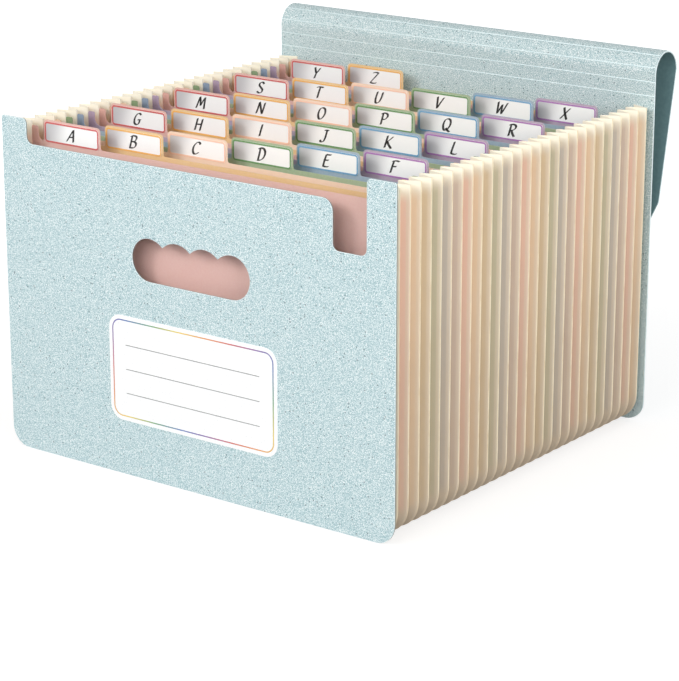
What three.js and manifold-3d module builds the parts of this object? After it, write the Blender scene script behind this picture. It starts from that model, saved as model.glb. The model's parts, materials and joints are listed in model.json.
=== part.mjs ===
// Accordion file organizer: twenty-six tabbed divider sheets in a pleated film gusset between a
// handled front cover and a back cover whose scored top rolls over into a flap.
// Millimetres, +Z up, +X to the right of the front cover, +Y from the front cover to the back.
// The covers stand on z = 0, and the origin is the centre of the footprint.

import * as THREE from 'three';
import { mergeVertices } from 'three/addons/utils/BufferGeometryUtils.js';
import Module from 'manifold-3d';

const wasm = await Module();
wasm.setup();

// Covers
const coverWidth = 330;
const coverHeight = 236.1;
const coverThickness = 1.2;
const coverFootRadius = 14.5;
const coverTopRadius = 1.5;
const coverSpacing = 305.8;           // clear distance between the two covers

// Front cover cut-outs
const postWidth = 22.6;
const postTopRadius = 3.5;
const notchDepth = 17.1;
const notchRadius = 5;
const slotWidth = 26.2;
const slotDepth = 49.8;
const slotFootRadius = 4.5;
const slotShoulderRadius = 8;

// Hand hole, with four finger scallops along its top edge
const gripHeight = 29.6;
const gripFloor = 139.9;
const fingerPitch = 23.4;
const fingerRise = 4.5;
const fingerCount = 4;

// Blank label on the front cover
const frontLabelWidth = 143.6;
const frontLabelHeight = 74.2;
const frontLabelFloor = 38.8;
const frontLabelRadius = 10;
const frontLabelThickness = 0.3;

// Gusset bellows: one film strip, pleated front to back, bent round the sides and the bottom
const pocketCount = 27;
const filmThickness = 0.4;
const pleatDepth = 13;
const gussetInset = 2.2;              // fold tips behind the covers' side edges
const gussetFloor = 0.4;              // fold tips above the ground
const gussetTop = 231.2;
const gussetCornerRadius = 20;
const gussetCornerSteps = 4;
const weldLand = 1;                   // flat width of an inner fold, where a divider is welded
const weldFlange = 3;                 // film lying flat on each cover
const weldGap = 0.3;

// Dividers
const dividerThickness = 0.5;
const dividerEdge = 219.4;            // top edge between the ears
const earWidth = 5.6;
const earTop = 228.8;
const earRadius = 1;
const earFilletRadius = 5;

// Index tabs and their labels
const tabLetters = 'abcdefghijklmnopqrstuvwxyz';
const tabsPerRow = 6;
const tabPitch = 45.35;
const firstLabelInset = 28.4;         // first label from the covers' left edge
const labelWidth = 48.5;
const labelHeight = 13.9;
const labelThickness = 0.25;
const labelRadius = 2.4;
const labelBase = 219;
const tabBorder = 1.3;
const tabRadius = 3;
const tabFilletRadius = 1.5;

// Scored roll and flap
const creasePitch = 10;
const firstHingeHeight = 258.5;
const fixedCreaseCount = 2;
const scoreWidth = 0.8;
const scoreDepth = 0.3;
const stripCount = 4;
const foldAngle = THREE.MathUtils.degToRad(38.2);     // bend at each crease, flap hanging behind
const forwardAngle = THREE.MathUtils.degToRad(21.7);  // bend at each crease, flap over the pockets
const hingeGap = 0.3;
const flapSideLength = 97;
const flapTaperLength = 36;
const flapTaperInset = 14;
const flapCornerRadius = 10;

// Largest distance between a true arc and its facets
const arcTolerance = 0.12;

// Colours
const coverColour = 0xc8e2e6;
const filmColour = 0xf0e6cf;
const labelColour = 0xfbfbf8;
const dividerColours = [0xe3aaa6, 0xe9c08d, 0xf3d3bd, 0x8fae86, 0x8fb2c9, 0xb99bc0];

const coverMaterial = new THREE.MeshStandardMaterial({ color: coverColour, roughness: 0.6, metalness: 0 });
const filmMaterial = new THREE.MeshStandardMaterial({ color: filmColour, roughness: 0.5, metalness: 0 });
const labelMaterial = new THREE.MeshStandardMaterial({ color: labelColour, roughness: 0.7, metalness: 0 });
const dividerMaterials = dividerColours.map(
  (color) => new THREE.MeshStandardMaterial({ color, roughness: 0.5, metalness: 0 }),
);

// Places that follow from the sizes above
const halfWidth = coverWidth / 2;
const frontFilmY = coverThickness + filmThickness / 2;
const backCoverY = coverThickness + coverSpacing;
const pleatPitch = (coverSpacing - filmThickness) / pocketCount;
const foldHalfAngle = Math.atan((pleatPitch - weldLand) / 2 / pleatDepth);
const foldTip = filmThickness / 2 / Math.sin(foldHalfAngle);
const foldLineX = halfWidth - gussetInset - foldTip;
const foldLineZ = gussetFloor + foldTip;
const dividerInset = pleatDepth + filmThickness / 2 + weldGap;
const dividerHalfWidth = foldLineX - dividerInset;
const dividerFloor = foldLineZ + dividerInset;
const flapLength = flapSideLength + flapTaperLength;

// Points of an arc from one angle to another, both ends included.
function arc(cx, cy, radius, from, to) {
  const step = 2 * Math.acos(1 - Math.min(arcTolerance / radius, 0.5));
  const count = Math.max(2, Math.ceil(Math.abs(to - from) / step));
  return Array.from({ length: count + 1 }, (_, i) => {
    const angle = from + ((to - from) * i) / count;
    return new THREE.Vector2(cx + radius * Math.cos(angle), cy + radius * Math.sin(angle));
  });
}

// Outline through corners [x, y, radius], each corner rounded to its radius.
function outline(corners) {
  const points = corners.map(([x, y]) => new THREE.Vector2(x, y));
  return corners.flatMap(([, , radius], i) => {
    const corner = points[i];
    if (!radius) return [corner];
    const before = points.at(i - 1).clone().sub(corner).normalize();
    const after = points[(i + 1) % points.length].clone().sub(corner).normalize();
    const half = Math.acos(before.dot(after)) / 2;
    const centre = before.clone().add(after).normalize().multiplyScalar(radius / Math.sin(half)).add(corner);
    const start = before.multiplyScalar(radius / Math.tan(half)).add(corner).sub(centre).angle();
    const end = after.multiplyScalar(radius / Math.tan(half)).add(corner).sub(centre).angle();
    const turn = Math.atan2(Math.sin(end - start), Math.cos(end - start));
    return arc(centre.x, centre.y, radius, start, start + turn);
  });
}

// Sheet cut to an outline in the XZ plane, filling y from 0 to its thickness.
function sheet(points, thickness, holes = []) {
  const shape = new THREE.Shape(points);
  shape.holes = holes.map((hole) => new THREE.Path(hole));
  const geometry = new THREE.ExtrudeGeometry(shape, { depth: thickness, bevelEnabled: false });
  return geometry.rotateX(Math.PI / 2).translate(0, thickness, 0);
}

// Bar of a section in the YZ plane, running the full width of the covers.
function bar(section) {
  const shape = new THREE.Shape(section.map(([y, z]) => new THREE.Vector2(y, z)));
  const geometry = new THREE.ExtrudeGeometry(shape, { depth: coverWidth, bevelEnabled: false });
  const toAxes = new THREE.Matrix4().makeBasis(
    new THREE.Vector3(0, 1, 0),
    new THREE.Vector3(0, 0, 1),
    new THREE.Vector3(1, 0, 0),
  );
  return geometry.applyMatrix4(toAxes).translate(-halfWidth, 0, 0);
}

// A closed geometry as a solid that can be joined and cut.
function solid(geometry) {
  const bare = geometry.clone();
  bare.deleteAttribute('normal');
  bare.deleteAttribute('uv');
  const merged = mergeVertices(bare, 1e-5);
  return new wasm.Manifold(new wasm.Mesh({
    numProp: 3,
    vertProperties: new Float32Array(merged.attributes.position.array),
    triVerts: new Uint32Array(merged.index.array),
  }));
}

// A solid back as a geometry.
function geometryOf(body) {
  const { vertProperties, triVerts } = body.getMesh();
  const geometry = new THREE.BufferGeometry();
  geometry.setAttribute('position', new THREE.BufferAttribute(vertProperties, 3));
  geometry.setIndex(new THREE.BufferAttribute(triVerts, 1));
  geometry.computeVertexNormals();
  return geometry;
}

function part(name, geometry, material) {
  const mesh = new THREE.Mesh(geometry, material);
  mesh.name = name;
  return mesh;
}

// Hand hole: round ends and a flat floor, with a scallop for each finger along the top.
function gripHole() {
  const top = gripFloor + gripHeight;
  const endRadius = gripHeight / 2;
  const endX = (fingerPitch * (fingerCount - 1)) / 2;
  const halfChord = fingerPitch / 2;
  const scallopRadius = (halfChord ** 2 + fingerRise ** 2) / (2 * fingerRise);
  const cusp = Math.acos(halfChord / scallopRadius);
  const fingers = Array.from({ length: fingerCount }, (_, i) => {
    const from = i === 0 ? Math.PI / 2 : Math.PI - cusp;
    const to = i === fingerCount - 1 ? Math.PI / 2 : cusp;
    return arc(-endX + i * fingerPitch, top - scallopRadius, scallopRadius, from, to);
  });
  const leftEnd = arc(-endX, gripFloor + endRadius, endRadius, 1.5 * Math.PI, 0.5 * Math.PI);
  const rightEnd = arc(endX, gripFloor + endRadius, endRadius, 0.5 * Math.PI, -0.5 * Math.PI);
  return [leftEnd, ...fingers, rightEnd].reduce((all, piece) => {
    const joined = all.length && all.at(-1).distanceTo(piece[0]) < 1e-6 ? piece.slice(1) : piece;
    return all.concat(joined);
  }, []);
}

// Front cover: a wide notch between two posts, a deep slot beside the right post, the hand hole
// and the blank label stuck on its outer face.
function frontCover() {
  const notch = coverHeight - notchDepth;
  const slotRight = halfWidth - postWidth;
  const slotLeft = slotRight - slotWidth;
  const slotFloor = coverHeight - slotDepth;
  const edge = outline([
    [-halfWidth, 0, coverFootRadius],
    [halfWidth, 0, coverFootRadius],
    [halfWidth, coverHeight, coverTopRadius],
    [slotRight, coverHeight, postTopRadius],
    [slotRight, slotFloor, slotFootRadius],
    [slotLeft, slotFloor, slotFootRadius],
    [slotLeft, notch, slotShoulderRadius],
    [-halfWidth + postWidth, notch, notchRadius],
    [-halfWidth + postWidth, coverHeight, postTopRadius],
    [-halfWidth, coverHeight, coverTopRadius],
  ]);
  const label = sheet(
    roundedRectangle(frontLabelWidth, frontLabelFloor, frontLabelHeight, frontLabelRadius),
    frontLabelThickness + coverThickness / 2,
  ).translate(0, -frontLabelThickness, 0);
  return geometryOf(solid(sheet(edge, coverThickness, [gripHole()])).add(solid(label)));
}

// Rectangle centred on x = 0, standing on the given height.
function roundedRectangle(width, floor, height, radius) {
  return outline([
    [-width / 2, floor, radius],
    [width / 2, floor, radius],
    [width / 2, floor + height, radius],
    [-width / 2, floor + height, radius],
  ]);
}

// How far the bevels of a hinge edge run back on the faces that close and open at the crease.
function hingeBevels() {
  const half = coverThickness / 2;
  return { rear: half * Math.tan(foldAngle / 2), front: half * Math.tan(forwardAngle / 2) };
}

// Hinge edge at the given height of a section, seen from the front face to the rear face.
// The sign says whether the material lies below (-1) or above (+1) the crease.
function hingeEdge(height, sign) {
  const half = coverThickness / 2;
  const tip = height + (sign * hingeGap) / 2;
  const { rear, front } = hingeBevels();
  return [
    [-half, tip + sign * front],
    [0, tip],
    [half, tip + sign * rear],
  ];
}

// Back cover: the same sheet as the front, plain, scored across below the first hinge crease.
function backCover() {
  const half = coverThickness / 2;
  const scores = Array.from({ length: fixedCreaseCount }, (_, i) => {
    const z = firstHingeHeight - creasePitch * (fixedCreaseCount - i);
    return [[-half, z - scoreWidth / 2], [-half + scoreDepth, z], [-half, z + scoreWidth / 2]];
  }).flat();
  const section = [[half, 0], ...hingeEdge(firstHingeHeight, -1).reverse(), ...scores.reverse(), [-half, 0]];
  const edge = outline([
    [-halfWidth, 0, coverFootRadius],
    [halfWidth, 0, coverFootRadius],
    [halfWidth, firstHingeHeight],
    [-halfWidth, firstHingeHeight],
  ]);
  const cutter = sheet(edge, coverThickness * 2).translate(0, -coverThickness, 0);
  return geometryOf(solid(bar(section)).intersect(solid(cutter)));
}

// One strip of the roll, standing on its crease.
function rollStrip() {
  return bar([...hingeEdge(0, 1), ...hingeEdge(creasePitch, -1).reverse()]);
}

// Flap panel, standing on its crease, with tapered sides at its free end.
function flapPanel() {
  const half = coverThickness / 2;
  const section = [...hingeEdge(0, 1), [half, flapLength], [-half, flapLength]];
  const edge = outline([
    [-halfWidth, 0],
    [halfWidth, 0],
    [halfWidth, flapSideLength, flapCornerRadius],
    [halfWidth - flapTaperInset, flapLength, flapCornerRadius],
    [-halfWidth + flapTaperInset, flapLength, flapCornerRadius],
    [-halfWidth, flapSideLength, flapCornerRadius],
  ]);
  const cutter = sheet(edge, coverThickness * 2).translate(0, -coverThickness, 0);
  return geometryOf(solid(bar(section)).intersect(solid(cutter)));
}

// Line through the middle of the pleated film, as [y, depth behind the fold line].
function pleatLine() {
  const line = [[frontFilmY, pleatDepth + weldFlange], [frontFilmY, pleatDepth]];
  for (let i = 0; i < pocketCount; i += 1) {
    const inner = frontFilmY + pleatPitch * (i + 1);
    line.push([inner - pleatPitch / 2, 0]);
    if (i < pocketCount - 1) line.push([inner - weldLand / 2, pleatDepth], [inner + weldLand / 2, pleatDepth]);
  }
  const backFilmY = frontFilmY + pleatPitch * pocketCount;
  line.push([backFilmY, pleatDepth], [backFilmY, pleatDepth + weldFlange]);
  return line;
}

// A line moved sideways by a distance, with mitred corners.
function offsetLine(line, distance) {
  const points = line.map(([y, depth]) => new THREE.Vector2(y, depth));
  const normals = points.slice(1).map((point, i) => {
    const along = point.clone().sub(points[i]).normalize();
    return new THREE.Vector2(-along.y, along.x);
  });
  return points.map((point, i) => {
    const before = normals[Math.max(i - 1, 0)];
    const after = normals[Math.min(i, normals.length - 1)];
    const mitre = before.clone().add(after).divideScalar(1 + before.dot(after));
    return point.clone().addScaledVector(mitre, distance);
  });
}

// Gusset bellows: the pleated section swept down one side, round the corners and up the other.
function gussetBellows() {
  const line = pleatLine();
  const section = [
    ...offsetLine(line, -filmThickness / 2),
    ...offsetLine(line, filmThickness / 2).reverse(),
  ];
  const bendX = foldLineX - gussetCornerRadius;
  const bendZ = foldLineZ + gussetCornerRadius;
  const stations = [[-bendX, gussetTop, Math.PI]];
  for (const [x, from] of [[-bendX, Math.PI], [bendX, 1.5 * Math.PI]]) {
    for (let i = 0; i <= gussetCornerSteps; i += 1) {
      stations.push([x, bendZ, from + ((Math.PI / 2) * i) / gussetCornerSteps]);
    }
  }
  stations.push([bendX, gussetTop, 2 * Math.PI]);

  const positions = stations.flatMap(([x, z, angle]) => section.flatMap((point) => {
    const reach = gussetCornerRadius - point.y;
    return [x + reach * Math.cos(angle), point.x, z + reach * Math.sin(angle)];
  }));
  const count = section.length;
  const index = [];
  for (let s = 0; s < stations.length - 1; s += 1) {
    for (let i = 0; i < count; i += 1) {
      const a = s * count + i;
      const b = s * count + ((i + 1) % count);
      index.push(a, b, a + count, b, b + count, a + count);
    }
  }
  const cap = THREE.ShapeUtils.triangulateShape(section, []);
  const last = (stations.length - 1) * count;
  for (const [a, b, c] of cap) index.push(a, c, b, last + a, last + b, last + c);

  const geometry = new THREE.BufferGeometry();
  geometry.setAttribute('position', new THREE.Float32BufferAttribute(positions, 3));
  geometry.setIndex(index);
  geometry.computeVertexNormals();
  return geometry;
}

// Left edge of the label on the tab in the given column.
function labelLeft(column) {
  return -halfWidth + firstLabelInset + column * tabPitch;
}

// Divider sheet: an ear at each side and one index tab on its top edge.
function divider(column) {
  const ear = dividerHalfWidth - earWidth;
  const tabLeft = labelLeft(column) - tabBorder;
  const tabRight = labelLeft(column) + labelWidth + tabBorder;
  const tabTop = labelBase + labelHeight + tabBorder;
  const footRadius = gussetCornerRadius - dividerInset;
  return sheet(outline([
    [-dividerHalfWidth, dividerFloor, footRadius],
    [dividerHalfWidth, dividerFloor, footRadius],
    [dividerHalfWidth, earTop, earRadius],
    [ear, earTop, earRadius],
    [ear, dividerEdge, Math.min(earFilletRadius, ear - tabRight - tabFilletRadius)],
    [tabRight, dividerEdge, tabFilletRadius],
    [tabRight, tabTop, tabRadius],
    [tabLeft, tabTop, tabRadius],
    [tabLeft, dividerEdge, tabFilletRadius],
    [-ear, dividerEdge, Math.min(earFilletRadius, tabLeft + ear - tabFilletRadius)],
    [-ear, earTop, earRadius],
    [-dividerHalfWidth, earTop, earRadius],
  ]), dividerThickness);
}

// Label stuck on the front of a tab.
function tabLabel() {
  return sheet(roundedRectangle(labelWidth, labelBase, labelHeight, labelRadius), labelThickness);
}

const organizer = new THREE.Group();
organizer.add(part('front_cover', frontCover(), coverMaterial));
organizer.add(part('gusset_bellows', gussetBellows(), filmMaterial));

[...tabLetters].forEach((letter, i) => {
  const column = i % tabsPerRow;
  const sheetFront = frontFilmY + pleatPitch * (i + 1) - dividerThickness / 2;
  const leaf = part(`divider_${letter}`, divider(column), dividerMaterials[column]);
  leaf.position.y = sheetFront;
  organizer.add(leaf);
  const label = part(`tab_label_${letter}`, tabLabel(), labelMaterial);
  label.position.set(labelLeft(column) + labelWidth / 2, sheetFront - labelThickness, 0);
  organizer.add(label);
});

// The back cover, and the roll and flap above it: each strip stands on the crease of the last.
const back = new THREE.Group();
back.position.y = backCoverY + coverThickness / 2;
back.add(part('back_cover', backCover(), coverMaterial));
organizer.add(back);

let carrier = back;
for (let i = 0; i <= stripCount; i += 1) {
  const crease = new THREE.Group();
  crease.position.z = i === 0 ? firstHingeHeight : creasePitch;
  crease.rotation.x = -foldAngle;
  const piece = i < stripCount
    ? part(`roll_strip_${i + 1}`, rollStrip(), coverMaterial)
    : part('cover_flap', flapPanel(), coverMaterial);
  crease.add(piece);
  carrier.add(crease);
  carrier = crease;
}

// Centre the footprint on the origin.
const extent = new THREE.Box3().setFromObject(organizer, true);
organizer.position.y = -(extent.min.y + extent.max.y) / 2;

export default organizer;
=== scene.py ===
"""Looks of the accordion file organizer: finishes, rounded pieces, labels, studio and camera.

Everything is in metres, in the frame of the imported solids: +Z up, -Y out of the front cover.
"""

import json
import logging
import math
from dataclasses import dataclass
from enum import Enum, IntEnum

import bmesh
import bpy
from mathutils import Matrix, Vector

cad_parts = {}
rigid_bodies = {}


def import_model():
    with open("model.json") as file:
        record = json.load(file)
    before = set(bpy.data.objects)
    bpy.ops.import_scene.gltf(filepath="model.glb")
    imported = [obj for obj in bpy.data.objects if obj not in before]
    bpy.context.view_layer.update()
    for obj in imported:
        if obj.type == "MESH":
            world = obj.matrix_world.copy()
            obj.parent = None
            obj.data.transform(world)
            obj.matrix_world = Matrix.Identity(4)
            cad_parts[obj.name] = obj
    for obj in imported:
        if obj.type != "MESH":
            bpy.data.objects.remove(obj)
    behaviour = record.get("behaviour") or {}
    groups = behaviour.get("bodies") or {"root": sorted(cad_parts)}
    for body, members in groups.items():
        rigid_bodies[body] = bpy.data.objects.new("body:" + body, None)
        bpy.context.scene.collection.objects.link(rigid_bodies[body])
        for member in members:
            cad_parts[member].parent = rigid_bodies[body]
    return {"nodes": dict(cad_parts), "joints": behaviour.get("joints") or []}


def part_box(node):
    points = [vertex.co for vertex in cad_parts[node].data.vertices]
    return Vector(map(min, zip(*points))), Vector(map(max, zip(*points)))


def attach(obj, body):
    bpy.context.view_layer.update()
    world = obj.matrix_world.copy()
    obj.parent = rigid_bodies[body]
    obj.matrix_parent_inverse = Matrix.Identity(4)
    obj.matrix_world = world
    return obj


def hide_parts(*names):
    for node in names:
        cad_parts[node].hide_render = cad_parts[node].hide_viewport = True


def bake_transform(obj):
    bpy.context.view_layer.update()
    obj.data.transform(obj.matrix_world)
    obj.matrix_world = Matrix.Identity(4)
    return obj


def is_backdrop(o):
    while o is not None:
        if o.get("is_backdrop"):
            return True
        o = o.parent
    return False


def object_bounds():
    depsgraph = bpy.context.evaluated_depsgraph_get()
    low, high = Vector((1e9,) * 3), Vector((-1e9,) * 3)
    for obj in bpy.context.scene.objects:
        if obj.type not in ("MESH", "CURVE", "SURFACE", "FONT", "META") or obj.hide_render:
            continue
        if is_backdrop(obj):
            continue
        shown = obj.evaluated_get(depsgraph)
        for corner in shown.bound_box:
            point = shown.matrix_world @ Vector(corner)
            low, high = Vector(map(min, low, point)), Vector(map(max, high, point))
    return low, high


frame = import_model()

Colour = tuple[float, float, float, float]
Point = tuple[float, float]
Stops = list[tuple[float, Colour]]
WHITE: Colour = (1.0, 1.0, 1.0, 1.0)

log = logging.getLogger("accordion_file")

HOLDER = "organizer_body"
FLAP = "cover_flap"
LABEL_RISE = 0.0003


def srgb(red: int, green: int, blue: int) -> Colour:
    """Linear colour of a display colour.

    Args:
        red: Red from 0 to 255.
        green: Green from 0 to 255.
        blue: Blue from 0 to 255.

    Returns:
        The linear colour with full alpha.
    """
    channels = []
    for value in (red, green, blue):
        share = value / 255
        channels.append(share / 12.92 if share <= 0.04045 else ((share + 0.055) / 1.055) ** 2.4)
    return (channels[0], channels[1], channels[2], 1.0)


class SheetColour(Enum):
    """The six colours that the divider sheets repeat: sheet, label border, the tint painted on the film,
    and the ears' colour with painted shade.
    """

    RED = (srgb(221, 166, 158), srgb(205, 92, 90), srgb(248, 206, 184), srgb(216, 166, 156))
    ORANGE = (srgb(228, 184, 122), srgb(236, 178, 92), srgb(248, 218, 182), srgb(226, 186, 150))
    PEACH = (srgb(242, 204, 178), srgb(246, 200, 174), srgb(232, 208, 168), srgb(226, 186, 158))
    GREEN = (srgb(138, 164, 124), srgb(102, 148, 92), srgb(208, 202, 170), srgb(126, 150, 116))
    BLUE = (srgb(128, 158, 182), srgb(112, 162, 198), srgb(206, 198, 188), srgb(134, 152, 176))
    PURPLE = (srgb(164, 142, 170), srgb(172, 116, 178), srgb(222, 200, 184), srgb(170, 150, 174))

    @property
    def sheet(self) -> Colour:
        """Colour of the divider sheet."""
        return self.value[0]

    @property
    def border(self) -> Colour:
        """Colour of the label's printed border."""
        return self.value[1]

    @property
    def tint(self) -> Colour:
        """Colour painted on the film around the sheet's edge: the sheet seen through the film, with
        painted shade in the pleat's valley.
        """
        return self.value[2]

    @property
    def ear(self) -> Colour:
        """Colour of the sheet's ears as they look in the shade between the pleats: the sheet's colour with
        painted shade.
        """
        return self.value[3]


class BackSlot(IntEnum):
    """Material slots of the back sheet's pieces."""

    INSIDE = 0
    RIM = 1
    REAR = 2


class CoverSlot(IntEnum):
    """Material slots of the front cover's sheet."""

    FACE = 0
    RIM = 1
    LABEL = 2
    WALL = 3


@dataclass(frozen=True)
class Grain:
    """Noise over a piece: features per metre, octaves, and how rough they are."""

    per_metre: float
    detail: float
    roughness: float


@dataclass(frozen=True)
class Band:
    """Smooth step between two values, and the share that it rises to."""

    low: float
    high: float
    share: float = 1.0


@dataclass(frozen=True)
class Flecks:
    """Scattered flecks: cells per metre, radius within a cell, share of filled cells, and strength."""

    per_metre: float
    size: float
    share: float
    strength: float


@dataclass(frozen=True)
class Relief:
    """Fine relief: its height in metres and how strongly it turns the light."""

    distance: float
    strength: float


class NodeGraph:
    """Nodes of one material, built around its Principled shader."""

    def __init__(self, name: str, colour: Colour, roughness: float) -> None:
        """Starts a material.

        Args:
            name: The material's name.
            colour: Its plain colour, also shown in the viewport.
            roughness: Roughness of the surface.
        """
        self.material = bpy.data.materials.new(name)
        self.material.use_nodes = True
        self.material.diffuse_color = colour
        self.tree = self.material.node_tree
        self.shader = self.tree.nodes["Principled BSDF"]
        self.shader.inputs["Base Color"].default_value = colour
        self.shader.inputs["Roughness"].default_value = roughness
        self.place = self.tree.nodes.new("ShaderNodeTexCoord").outputs["Object"]

    def put(self, kind: str, values: dict) -> bpy.types.Node:
        """Adds a node.

        Args:
            kind: The node's type.
            values: Input name or number to a value, or to the output that feeds it.

        Returns:
            The node.
        """
        node = self.tree.nodes.new(kind)
        for key, value in values.items():
            self.feed(value, node.inputs[key])
        return node

    def feed(self, value: object, socket: bpy.types.NodeSocket) -> None:
        """Links an output to an input, or writes a plain value on it.

        Args:
            value: An output socket or a value.
            socket: The input.
        """
        if isinstance(value, bpy.types.NodeSocket):
            self.tree.links.new(value, socket)
        else:
            socket.default_value = value

    def math(self, operation: str, *values: object) -> bpy.types.NodeSocket:
        """Adds a Math node.

        Args:
            operation: The node's operation.
            *values: Up to three values, or outputs that feed them.

        Returns:
            The result.
        """
        node = self.tree.nodes.new("ShaderNodeMath")
        node.operation = operation
        for i, value in enumerate(values):
            self.feed(value, node.inputs[i])
        return node.outputs[0]

    def smooth(self, value: object, low: float, high: float) -> bpy.types.NodeSocket:
        """Smooth step of a value.

        Args:
            value: The value.
            low: Where the step starts, at 0.
            high: Where it ends, at 1.

        Returns:
            The output from 0 to 1.
        """
        node = self.tree.nodes.new("ShaderNodeMapRange")
        node.interpolation_type = "SMOOTHSTEP"
        for i, number in enumerate((value, low, high, 0.0, 1.0)):
            self.feed(number, node.inputs[i])
        return node.outputs[0]

    def mix(self, factor: object, first: object, second: object) -> bpy.types.NodeSocket:
        """Mixes two colours.

        Args:
            factor: Share of the second colour.
            first: First colour.
            second: Second colour.

        Returns:
            The mixed colour.
        """
        node = self.tree.nodes.new("ShaderNodeMix")
        node.data_type = "RGBA"
        self.feed(factor, node.inputs[0])
        self.feed(first, node.inputs[6])
        self.feed(second, node.inputs[7])
        return node.outputs[2]

    def ramp(self, factor: object, stops: Stops, stepped: bool = False) -> bpy.types.NodeSocket:
        """Colour ramp.

        Args:
            factor: Place on the ramp.
            stops: Positions and colours.
            stepped: Whether each colour holds until the next.

        Returns:
            The colour.
        """
        node = self.put("ShaderNodeValToRGB", {"Fac": factor})
        node.color_ramp.interpolation = "CONSTANT" if stepped else "LINEAR"
        elements = node.color_ramp.elements
        while len(elements) < len(stops):
            elements.new(0.5)
        for element, (position, colour) in zip(elements, stops):
            element.position = position
            element.color = colour
        return node.outputs["Color"]

    def noise(self, grain: Grain) -> bpy.types.NodeSocket:
        """Adds noise over the object's own coordinates.

        Args:
            grain: The noise.

        Returns:
            The output, around 0.5.
        """
        values = {
            "Vector": self.place,
            "Scale": grain.per_metre,
            "Detail": grain.detail,
            "Roughness": grain.roughness,
        }
        return self.put("ShaderNodeTexNoise", values).outputs[0]

    def band(self, value: object, band: Band) -> bpy.types.NodeSocket:
        """Share that a smooth step of a value gives."""
        return self.math("MULTIPLY", self.smooth(value, band.low, band.high), band.share)

    def flecks(self, flecks: Flecks) -> bpy.types.NodeSocket:
        """Adds scattered flecks.

        Args:
            flecks: The flecks.

        Returns:
            Their strength inside a fleck and 0 outside.
        """
        cells = self.put("ShaderNodeTexVoronoi", {"Vector": self.place, "Scale": flecks.per_metre})
        chance = self.put("ShaderNodeSeparateColor", {"Color": cells.outputs["Color"]}).outputs["Red"]
        shown = self.math("LESS_THAN", chance, flecks.share)
        inside = self.smooth(cells.outputs["Distance"], flecks.size, flecks.size / 2)
        return self.math("MULTIPLY", self.math("MULTIPLY", inside, shown), flecks.strength)

    def bump(self, height: object, relief: Relief) -> None:
        """Feeds the shader's normal from a height."""
        values = {"Height": height, "Distance": relief.distance, "Strength": relief.strength}
        self.feed(self.put("ShaderNodeBump", values).outputs[0], self.shader.inputs["Normal"])

    def scatter(self, weight: float, depth: tuple[float, float, float]) -> None:
        """Lets light in under the surface.

        Args:
            weight: Share of the light that goes in.
            depth: How far red, green and blue travel, in metres.
        """
        self.shader.inputs["Subsurface Weight"].default_value = weight
        self.shader.inputs["Subsurface Radius"].default_value = depth
        self.shader.inputs["Subsurface Scale"].default_value = 1.0

    def paint(self, colour: object) -> None:
        """Feeds the shader's base colour."""
        self.feed(colour, self.shader.inputs["Base Color"])

    def axes(self) -> tuple[bpy.types.NodeSocket, bpy.types.NodeSocket, bpy.types.NodeSocket]:
        """The object's x, y and z coordinates as separate outputs."""
        node = self.put("ShaderNodeSeparateXYZ", {"Vector": self.place})
        return node.outputs[0], node.outputs[1], node.outputs[2]


@dataclass(frozen=True)
class SpeckledSheetFinish:
    """Pale moulded sheet with a sandy grain and light and dark flecks."""

    name: str
    colour: Colour
    contrast: float = 1.0
    light: Colour = srgb(250, 254, 254)
    dark: Colour = srgb(112, 158, 168)
    speck: Colour = srgb(62, 88, 98)
    sand: Grain = Grain(1700.0, 2.0, 0.6)
    light_sand: Band = Band(0.50, 0.60, 0.85)
    dark_sand: Band = Band(0.49, 0.40, 0.75)
    cloud: Grain = Grain(9.0, 2.0, 0.5)
    cloud_share: float = 0.06
    light_flecks: Flecks = Flecks(560.0, 0.26, 0.40, 0.8)
    dark_flecks: Flecks = Flecks(320.0, 0.20, 0.42, 0.9)
    relief: Relief = Relief(0.00006, 0.4)
    specular: float = 0.35
    roughness: float = 0.55

    def material(self) -> bpy.types.Material:
        """Makes the finish.

        Returns:
            The material.
        """
        graph = NodeGraph(self.name, self.colour, self.roughness)
        sand = graph.noise(self.sand)
        light_share = graph.math("MULTIPLY", graph.band(sand, self.light_sand), self.contrast)
        dark_share = graph.math("MULTIPLY", graph.band(sand, self.dark_sand), self.contrast)
        cloud_share = graph.math("MULTIPLY", graph.noise(self.cloud), self.cloud_share)
        fleck_share = graph.math("MULTIPLY", graph.flecks(self.light_flecks), self.contrast)
        colour = graph.mix(light_share, self.colour, self.light)
        colour = graph.mix(dark_share, colour, self.dark)
        colour = graph.mix(cloud_share, colour, self.light)
        colour = graph.mix(fleck_share, colour, self.light)
        colour = graph.mix(graph.flecks(self.dark_flecks), colour, self.speck)
        graph.paint(colour)
        graph.bump(sand, self.relief)
        graph.shader.inputs["Specular IOR Level"].default_value = self.specular
        return graph.material


@dataclass(frozen=True)
class PaintedRearShadeFinish:
    """Unprinted rear side of the moulded sheet: smooth and slightly cloudy, and painted darker as painted
    shade.
    """

    name: str
    # Painted shade: a darker teal than the printed face.
    colour: Colour = srgb(119, 151, 154)
    shade: Colour = srgb(110, 141, 145)
    cloud: Grain = Grain(420.0, 5.0, 0.7)
    clouded: Band = Band(0.35, 0.70)
    skin: Grain = Grain(300.0, 3.0, 0.5)
    relief: Relief = Relief(0.00005, 0.4)
    roughness: float = 0.48

    def material(self) -> bpy.types.Material:
        """Makes the finish.

        Returns:
            The material.
        """
        graph = NodeGraph(self.name, self.colour, self.roughness)
        cloud = graph.band(graph.noise(self.cloud), self.clouded)
        graph.paint(graph.mix(cloud, self.colour, self.shade))
        graph.bump(graph.noise(self.skin), self.relief)
        return graph.material


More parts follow.
